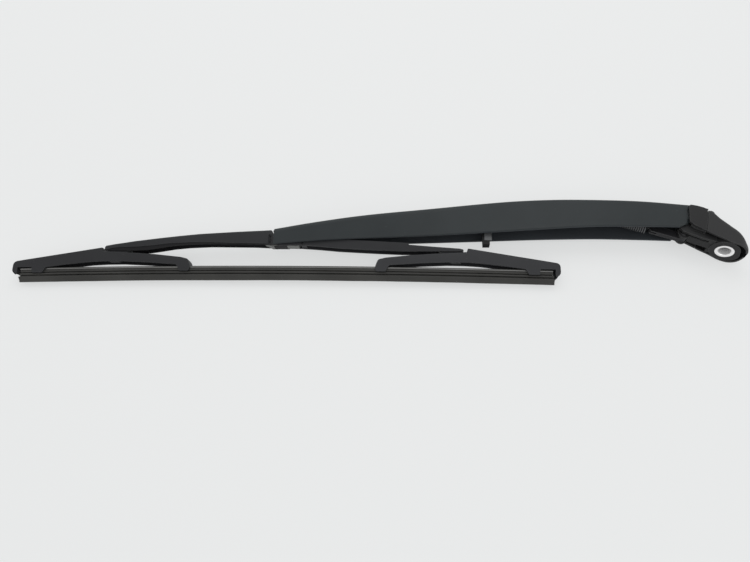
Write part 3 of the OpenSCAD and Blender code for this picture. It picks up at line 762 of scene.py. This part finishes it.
# The spring runs from its anchor, drawn from the hinge along the arm, to the link's eye, which is in
# the part's frame, mm
SPRING_ANCHOR = np.array([-68.2, 7.2, 0.0])
LINK_EYE = np.array([-27, 3.1, 0.0])
COIL_START = 4.2
COIL_LENGTH = 34.3

# Inner radii of the spring's two eyes, mm
ANCHOR_EYE = 1.62
LINK_END_EYE = 1.2


class WIPER_OT_spring(bpy.types.Operator):
    """Build the smooth tension spring"""
    bl_idname = "wiper.spring"
    bl_label = "Tension spring"

    def execute(self, context):
        s = context.scene.wiper_arm
        link = turn_z(LINK_EYE - HINGE, -s.droop)
        way = math.degrees(math.atan2(link[1] - SPRING_ANCHOR[1], link[0] - SPRING_ANCHOR[0]))

        def place(points):
            return from_arm(turn_z(np.asarray(points, float), way) + SPRING_ANCHOR, s)

        r, w = s.coil_radius, s.wire / 2
        t = np.linspace(0, 1, 28 * s.coil_turns + 1)
        a = 2 * math.pi * s.coil_turns * t
        far = 2 * COIL_START + COIL_LENGTH
        coil = np.stack([COIL_START + COIL_LENGTH * t, r * np.cos(a), r * np.sin(a)], -1)
        r1 = ANCHOR_EYE + w
        k = np.radians(np.linspace(60, 360, 26))
        eye1 = np.stack([r1 * np.cos(k), r1 * np.sin(k), 0 * k], -1)
        mid1 = np.array([[3.0, 0.4, 0], [3.8, 2.0, 0]])
        r2 = LINK_END_EYE + w
        q = np.linspace(math.radians(180), math.radians(-120), 26)
        eye2 = np.stack([far + r2 * np.cos(q), r2 * np.sin(q), np.zeros(26)], -1)
        mid2 = np.array([[far - COIL_START + 0.5, 2.0, 0], [far - 3, 0.5, 0]])
        path = np.concatenate([eye1, mid1, coil, mid2, eye2])
        obj = tube("Tension_spring_coil", path, w, 8, place)
        paint_object(obj, "Spring steel")
        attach(obj, "arm")
        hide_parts("tension_spring")
        return {"FINISHED"}


def tube(name, path, radius, sides, place):
    """Round wire along a path, mm."""
    path = np.asarray(path, float)
    tan = np.gradient(path, axis=0)
    tan /= np.linalg.norm(tan, axis=1)[:, None]
    n = np.cross(tan[0], [0.3, 0.2, 1.0])
    n /= np.linalg.norm(n)
    rings = []
    for p, t in zip(path, tan):
        n = n - t * np.dot(n, t)
        n /= np.linalg.norm(n)
        b = np.cross(t, n)
        a = np.linspace(0, 2 * math.pi, sides, endpoint=False)
        rings.append(p + radius * (np.cos(a)[:, None] * n + np.sin(a)[:, None] * b))
    rings = np.array(rings)
    rows, cols = rings.shape[:2]
    ends = [list(range(cols))[::-1], [(rows - 1) * cols + i for i in range(cols)]]
    faces = grid_faces(rows, cols, True) + ends
    obj = add_mesh(name, place(rings.reshape(-1, 3)), faces, 60)
    recalc(obj)
    return obj


# Side lines of the blade, heights counted from the rubber's lip, mm
VISOR_TOP = [
    (-121.2, 22.3), (-120.7, 22.9), (-114.7, 24), (-101, 26.3), (-84, 28.5), (-70.6, 30.1),
    (-57, 31.5), (-43, 32.4), (-30, 33.2), (-16, 33.9), (-8.8, 34.3), (-8.3, 34.1), (-8.0, 33.4),
]
VISOR_FOOT = [
    (-121.2, 19.3), (-112, 19.3), (-100, 19.2), (-92, 19.7), (-86, 20.6), (-75, 22.5), (-65, 23.5),
    (-50, 24.2), (-20, 24), (-8.0, 23.5),
]
VISOR_STEP = [
    (-121.2, 19.7), (-119, 20.1), (-116, 21.0), (-112, 21.4), (-98, 22), (-86, 23.2), (-77, 24.3),
    (-62, 25.1), (-50, 25.1), (-35, 24.7), (-12, 24.3), (-8.0, 23.8),
]
SPINE_TOP = [
    (12.0, 30.65), (26, 29.4), (50, 27.3), (70, 26.1), (84, 25.4), (84.3, 24), (100, 22.7),
    (117.5, 21.4), (119.8, 20.8), (120.2, 20.2),
]
SPINE_FOOT = [
    (12.0, 23.3), (24, 22.5), (37, 21.3), (51, 20.5), (65, 19.8), (80, 19.2), (120.2, 19.3),
]
LEVER_TOP = [
    (61.9, 7.5), (61.95, 8.4), (62.3, 9.8), (62.9, 11.4), (63.5, 12.8), (64.3, 13.7), (65.2, 14.0),
    (69, 14.9), (87, 16.8), (100, 17.7), (114, 18.4), (122.4, 18.9), (122.7, 19.9), (123.1, 21.25),
    (123.7, 21.3), (178, 12.05), (180.8, 11.55), (181.8, 11.0), (182.4, 10.3), (182.7, 9.4),
]
LEVER_FOOT = [
    (61.9, 7.2), (62.2, 6.2), (62.5, 5.6), (63.0, 5.25), (68.4, 5.2), (68.9, 5.4), (70.6, 8.5),
    (71.6, 9.5), (91, 10.95), (110, 11.75), (121.5, 11.55), (131, 10.95), (143, 9.5), (153.5, 8.1),
    (160.1, 7.1), (162.1, 3.75), (162.5, 3.42), (169.1, 3.4), (169.4, 3.7), (169.7, 7.1),
    (179.45, 7.1), (179.5, 2.6), (180.2, 2.0), (180.8, 2.2), (182.1, 3.5), (182.5, 4.1),
    (182.7, 5.2),
]


def side_stations(top, foot, step):
    """Places along x that keep every corner of both lines, with even steps between."""
    xs = sorted({round(x, 3) for x, _ in top} | {round(x, 3) for x, _ in foot})
    out = []
    for a, b in zip(xs, xs[1:]):
        out += list(np.linspace(a, b, max(2, int((b - a) / step) + 1), endpoint=False))
    return np.array(out + [xs[-1]])


# Longest step between two sections of a channel, and the radius along the rims of its walls, mm
CHANNEL_STEP = 2.0
CHANNEL_RIM = 0.22


def channel(name, top, foot, half, wall, inner, edge, place, solid=(), side=1):
    """Channel whose top and foot follow two side lines.

    inner is the roof's thickness, and solid lists the x ranges that are filled.
    """
    tx, ty = np.array(top).T
    fx, fy = np.array(foot).T
    rings = []
    for x in side_stations(top, foot, CHANNEL_STEP):
        t, f = np.interp(x, tx, ty), np.interp(x, fx, fy)
        e = min(edge, (t - f) * 0.45)
        deep = t - f - 0.4 if any(a <= x <= b for a, b in solid) else min(inner, t - f - 0.4)
        out, inn = u_section(half, f, t, wall, max(deep, 0.15), e, rim=min(CHANNEL_RIM, (t - f) * 0.2))
        ring = np.concatenate([out, inn[::-1]])
        rings.append(np.stack([np.full(len(ring), side * x), ring[:, 0], ring[:, 1]], -1))
    rings = np.array(rings)
    n, m = rings.shape[:2]
    faces = grid_faces(n, m, True) + u_cap(0, len(out), m, False) + u_cap((n - 1) * m, len(out), m, True)
    obj = add_mesh(name, place(rings.reshape(-1, 3)), faces, 42)
    recalc(obj)
    return obj


def plate(name, outline, low, high, place, bevel=0.25):
    """Flat plate of an outline (x, y) between two z, with eased edges, mm."""
    n = len(outline)
    pts = [(x, y, low) for x, y in outline] + [(x, y, high) for x, y in outline]
    faces = [list(range(n))[::-1], [n + i for i in range(n)]]
    faces += [[i, (i + 1) % n, n + (i + 1) % n, n + i] for i in range(n)]
    obj = add_mesh(name, place(np.array(pts, float)), faces, 35)
    recalc(obj)
    if bevel:
        ease_edges(obj, bevel, 35)
    return obj


COVER_TOP = [
    (-15.1, 23.3), (-13.4, 23.3), (-11, 22.4), (-8, 20.5), (0, 16), (4, 13.5), (7.5, 10.6), (11, 7),
    (13.6, 4.4),
]
COVER_FOOT = [
    (-15.1, 4.8), (-12.5, 4), (-6.2, 2.5), (0, 0.6), (5, 0.2), (9, 0.2), (11.5, 0.5), (13.6, 1.4),
]
COVER_HALF = [
    (-15.1, 10.3), (-8, 10.4), (-3, 10.55), (4, 10.7), (14, 10.7),
]
COVER_EDGE = [
    (-15.1, 2.5), (-8, 5), (0, 6), (14, 6),
]


# The cover's back edge, the end of the notch in it, its round end and that end's radius, mm
COVER_BACK = -15.1
COVER_NOTCH = -10.7
COVER_END = 13.6
COVER_ROUND = 10

# Hinge barrels at the cover's back: middle, radius, and where they begin and end sideways, mm
BARREL = (-13.1, 21.6)
BARREL_RADIUS = 2.3
BARREL_REACH = (3.7, 8.4)


def cover_rows(inset):
    """Sections of the cover from its back edge to its round end.

    Each one runs from the near foot over the crown to the far foot.
    """
    end, bend_r = COVER_END - inset, COVER_ROUND - inset * 0.9
    bend = end - bend_r
    xs = list(np.linspace(COVER_BACK, COVER_NOTCH, 7))
    xs += list(np.linspace(COVER_NOTCH, bend, 16)[1:])
    xs += [bend + bend_r * math.sin(a) for a in np.radians(np.linspace(5, 78, 16))]
    rows = []
    for x in xs:
        u = max(0.0, x - bend) / bend_r
        w = (float(curve(COVER_HALF, x)) - inset) * math.sqrt(1 - u * u)
        f, t = float(curve(COVER_FOOT, x)), float(curve(COVER_TOP, x)) - inset * 1.25
        q = max(0.2, min(float(np.interp(x, *np.array(COVER_EDGE).T)) - inset, w * 0.95, (t - f) * 0.8))
        side = [(f, w)]
        side += [(t - q + q * math.sin(a), w - q + q * math.cos(a))
                 for a in np.linspace(0, math.pi / 2, 12)]
        side.append((t, min(3.7, (w - q) * 0.8)))
        rows.append([(x, y, z) for y, z in side] + [(x, t, 0)] + [(x, y, -z) for y, z in side[::-1]])
    return np.array(rows)


class WIPER_OT_cover(bpy.types.Operator):
    """Build the snap-on cover over the spindle nut"""
    bl_idname = "wiper.cover"
    bl_label = "Nut cover"

    def execute(self, context):
        outer, inner = cover_rows(0), cover_rows(1.3)
        rows, cols = outer.shape[:2]
        mid = cols // 2
        base = rows * cols
        notch = 6
        faces = []

        def join(a, b):
            faces.append([a, b, base + b, base + a])

        for first, flip in ((0, False), (base, True)):
            for r in range(rows - 1):
                for c in range(cols - 1):
                    if r < notch and c in (mid - 1, mid):
                        continue
                    here, after = first + r * cols + c, first + (r + 1) * cols + c
                    f = [here, here + 1, after + 1, after]
                    faces.append(f[::-1] if flip else f)
            faces.append([first + (rows - 1) * cols + c for c in range(cols)])
        for r in range(rows - 1):
            join(r * cols, (r + 1) * cols)
            join(r * cols + cols - 1, (r + 1) * cols + cols - 1)
        for c in range(cols - 1):
            if c not in (mid - 1, mid):
                join(c, c + 1)
        for r in range(notch):
            for c in (mid - 1, mid + 1):
                join(r * cols + c, (r + 1) * cols + c)
        for c in (mid - 1, mid):
            join(notch * cols + c, notch * cols + c + 1)
        points = np.concatenate([outer.reshape(-1, 3), inner.reshape(-1, 3)]) * MM
        parts = [add_mesh("Nut_cover_shell", points, faces, 40)]
        recalc(parts[0])
        ease_edges(parts[0], 0.25, 40)
        ring = [(BARREL[0] + BARREL_RADIUS * math.cos(a), BARREL[1] + BARREL_RADIUS * math.sin(a))
                for a in np.linspace(0, 2 * math.pi, 28, endpoint=False)]
        for edge, word in EDGES:
            low, high = sorted(edge * reach for reach in BARREL_REACH)
            parts.append(plate(f"Cover_barrel_{word}", ring, low, high, lambda p: p * MM, 0.15))
        for o in parts:
            paint_object(o, "Cover plastic")
            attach(o, "cover")
        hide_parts("nut_cover")
        return {"FINISHED"}


# Outlines of the bridge's flat pieces and of the trims fixed to the arm, heights from the lip, mm
BRIDGE_CHEEK = [(-10.5, 31.1), (14, 30.5), (14, 23.3), (3.6, 23.4), (3, 23.1), (-3.4, 23.1), (-4, 23.6),
                (-10.5, 23.7)]
BRIDGE_TONGUE = [(104, 20.4), (110, 13.4), (113, 12.4), (119, 12.4), (120, 15), (120.2, 20.4)]
TIP_SEAM = [(-6.95, 32.4), (-6.95, 33.6), (-5.6, 33.9), (-5.6, 32.4)]
CLIP_WINDOW = [(-6.2, 22.58), (-2, 23.2), (1.6, 22.9), (2.5, 22.9), (2.5, 23.3), (-2, 23.6), (-6.2, 23.0)]

# Half widths of the bridge and the levers, and the thickness of their side walls, mm
BRIDGE_HALF = 4.3
LEVER_HALF = 4.5
BLADE_WALL = 1.2


class WIPER_OT_bridge(bpy.types.Operator):
    """Build the blade's bridge: raised visor on the open side, low spine under the arm"""
    bl_idname = "wiper.bridge"
    bl_label = "Bridge"

    def execute(self, context):
        s, b = context.scene.wiper_arm, context.scene.wiper_blade
        place = lip_place(s, b)
        parts = [channel("Bridge_visor", VISOR_TOP, VISOR_STEP, BRIDGE_HALF, BLADE_WALL, 1.5, 1.5, place,
                         solid=((-121.3, -119.6), (-10.2, -7.9))),
                 channel("Bridge_spine", SPINE_TOP, SPINE_FOOT, BRIDGE_HALF, BLADE_WALL, 1.5, 0.9, place,
                         solid=((11.9, 16.0), (118.8, 120.3)))]
        for edge, word in EDGES:
            low, high = sorted((edge * 3.1, edge * BRIDGE_HALF))
            parts.append(plate(f"Bridge_cheek_{word}", BRIDGE_CHEEK, low, high, place))
        xs = np.linspace(-120.6, -8.3, 60)
        foot = np.interp(xs, *np.array(VISOR_FOOT).T)
        step = np.interp(xs, *np.array(VISOR_STEP).T)
        skirt = ((foot, 3.25), (foot, 3.7), (foot + 0.12, 3.8),
                 (step + 0.4, 3.8), (step + 0.4, 3.1), (foot + 0.12, 3.1))
        for edge, word in EDGES:
            ring = [np.stack([xs, y, np.full(60, edge * z)], -1) for y, z in skirt]
            parts.append(sweep(f"Visor_skirt_{word}", np.stack(ring, 1), place))
        for side, nm in ((1, "inner"), (-1, "outer")):
            outline = [(side * x, y) for x, y in BRIDGE_TONGUE]
            parts.append(plate(f"Bridge_tongue_{nm}", outline, -3.0, 3.0, place))
        for o in parts:
            paint_object(o, "Shaded plastic" if o.name.startswith("Visor_skirt") else "Blade plastic")
            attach(o, "blade")
        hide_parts("blade_bridge")
        # Fixed to the arm: seam filler in its open tip, and the dark middle of the clip's underside
        for o in (plate("Arm_tip_seam", TIP_SEAM, -4.6, 4.6, place, 0.1),
                  plate("Clip_window", CLIP_WINDOW, -2.85, 2.85, place, 0)):
            paint_object(o, "Shaded plastic")
            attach(o, "arm")
        return {"FINISHED"}


# Where the lips of a lever's two claws begin and end along the blade, and the share of the bow
# that the rubber has sunk by there
CLAWS = ((63.2, 68.6, 0.136), (162.7, 169.2, 0.86))

# The claws' lips reach into the rubber's middle groove: their heights from the rubber's edge on the
# glass, and where they begin and end sideways, mm
LIP_HEIGHTS = (5.64, 6.1)
LIP_REACH = (1.8, 3.4)


class WIPER_OT_levers(bpy.types.Operator):
    """Build the two claw levers with their claws and end hooks"""
    bl_idname = "wiper.levers"
    bl_label = "Claw levers"

    def execute(self, context):
        s, b = context.scene.wiper_arm, context.scene.wiper_blade
        place = lip_place(s, b)
        for side, nm in ((1, "inner"), (-1, "outer")):
            o = channel(f"Lever_{nm}", LEVER_TOP, LEVER_FOOT, LEVER_HALF, BLADE_WALL, 1.4, 0.9, place,
                        solid=((61.8, 62.6), (181.2, 182.8)), side=side)
            # The inner lever gets the lighter copy of the plastic, painted light that lifts the arm's shadow
            # on it
            paint_object(o, "Lever plastic with painted light" if nm == "inner" else "Blade plastic")
            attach(o, f"{nm}_claws")
            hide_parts(f"{nm}_lever")
            for i, (x0, x1, share) in enumerate(CLAWS):
                foot, top = (height - b.bow * share for height in LIP_HEIGHTS)
                outline = [(side * x0, foot), (side * x1, foot), (side * x1, top), (side * x0, top)]
                for edge, word in EDGES:
                    low, high = sorted(edge * reach for reach in LIP_REACH)
                    c = plate(f"Claw_lip_{nm}_{i}_{word}", outline, low, high, place, 0.1)
                    paint_object(c, "Blade plastic")
                    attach(c, f"{nm}_claws")
        return {"FINISHED"}


# The camera's place in the part's frame, m, and its axes: right, up and back
CAMERA_PLACE = Vector((-0.1274, -0.2841, 0.3436))
CAMERA_AXES = (Vector((0.9410, 0.3367, -0.0347)), Vector((-0.2718, 0.8127, 0.5154)),
               Vector((0.2017, -0.4756, 0.8562)))

# The lamps' share of the key light's power
SOFT_BOX_SHARE = 0.93
WINDOW_SHARE = 0.6


def add_area(name, loc, target, size, power, color=(1, 1, 1)):
    """Rectangular area lamp that points at a target."""
    lamp = bpy.data.lights.new(name, "AREA")
    lamp.shape = "RECTANGLE"
    lamp.size, lamp.size_y = size
    lamp.energy = power
    lamp.color = color
    obj = bpy.data.objects.new(name, lamp)
    bpy.context.scene.collection.objects.link(obj)
    obj.location = loc
    obj.rotation_euler = (Vector(target) - Vector(loc)).to_track_quat("-Z", "Y").to_euler()


class WIPER_OT_stage(bpy.types.Operator):
    """Set floor, light and camera"""
    bl_idname = "wiper.stage"
    bl_label = "Studio"

    def execute(self, context):
        sc, st = context.scene, context.scene.wiper_studio
        floor_z = FRAME_BOUNDS[0][2] - 0.0001
        pts = np.array([[-3, -3, floor_z], [3, -3, floor_z], [3, 3, floor_z], [-3, 3, floor_z]])
        floor = add_mesh("Floor", pts, [[0, 1, 2, 3]])
        m = bpy.data.materials.new("Floor paper")
        m.use_nodes = True
        b = m.node_tree.nodes["Principled BSDF"]
        b.inputs["Base Color"].default_value = (*[c * (1 - st.glow) for c in st.floor], 1)
        b.inputs["Roughness"].default_value = 0.6
        b.inputs["Specular IOR Level"].default_value = 0.1
        b.inputs["Emission Color"].default_value = (*st.floor, 1)
        b.inputs["Emission Strength"].default_value = st.glow
        floor.data.materials.append(m)
        w = bpy.data.worlds.new("Even light")
        w.use_nodes = True
        w.node_tree.nodes["Background"].inputs["Color"].default_value = (1.0, 1.0, 1.0, 1)
        w.node_tree.nodes["Background"].inputs["Strength"].default_value = st.world
        sc.world = w
        cam = bpy.data.cameras.new("Camera")
        cam.sensor_width = 36
        cam.lens = st.lens
        cam.clip_start, cam.clip_end = 0.01, 20
        co = bpy.data.objects.new("Camera", cam)
        sc.collection.objects.link(co)
        rot = Matrix(CAMERA_AXES).transposed().to_4x4()
        co.matrix_world = Matrix.Translation(CAMERA_PLACE) @ rot
        sc.camera = co
        middle = (-0.2, -0.05, 0)
        add_area("Soft box", (-0.45, 0.55, 0.9), middle, (0.9, 0.6), st.key * SOFT_BOX_SHARE)
        add_area("Window", (0.5, -0.7, 0.8), middle, (0.8, 0.8), st.key * WINDOW_SHARE, (0.97, 0.99, 1.0))
        sc.view_settings.view_transform = "Standard"
        sc.view_settings.look = "None"
        sc.render.film_transparent = False
        return {"FINISHED"}


class WIPER_PT_panel(bpy.types.Panel):
    """Wiper arm builder"""
    bl_label = "Wiper Arm"
    bl_idname = "WIPER_PT_panel"
    bl_space_type = "VIEW_3D"
    bl_region_type = "UI"
    bl_category = "Wiper Arm"

    def draw(self, context):
        col = self.layout.column(align=True)
        for op in OPERATORS:
            col.operator(op.bl_idname)
        for name in ("wiper_arm", "wiper_blade", "wiper_look", "wiper_studio"):
            settings = getattr(context.scene, name)
            for prop in settings.bl_rna.properties:
                if prop.identifier not in ("rna_type", "name"):
                    col.prop(settings, prop.identifier)


GROUPS = (("wiper_arm", ArmSettings), ("wiper_blade", BladeSettings), ("wiper_look", LookSettings),
          ("wiper_studio", StudioSettings))
OPERATORS = (WIPER_OT_materials, WIPER_OT_arm, WIPER_OT_cover, WIPER_OT_bridge, WIPER_OT_levers,
             WIPER_OT_rubber, WIPER_OT_spring, WIPER_OT_stage)


def register():
    for name, cls in GROUPS:
        bpy.utils.register_class(cls)
        setattr(bpy.types.Scene, name, bpy.props.PointerProperty(type=cls))
    for cls in OPERATORS + (WIPER_PT_panel,):
        bpy.utils.register_class(cls)


def unregister():
    for cls in reversed(OPERATORS + (WIPER_PT_panel,)):
        bpy.utils.unregister_class(cls)
    for name, cls in reversed(GROUPS):
        delattr(bpy.types.Scene, name)
        bpy.utils.unregister_class(cls)


def main():
    register()
    bpy.ops.wiper.materials()
    bpy.ops.wiper.arm()
    bpy.ops.wiper.cover()
    bpy.ops.wiper.bridge()
    bpy.ops.wiper.levers()
    bpy.ops.wiper.rubber()
    bpy.ops.wiper.spring()
    bpy.ops.wiper.stage()
    bpy.context.view_layer.update()


if __name__ == "__main__":
    main()
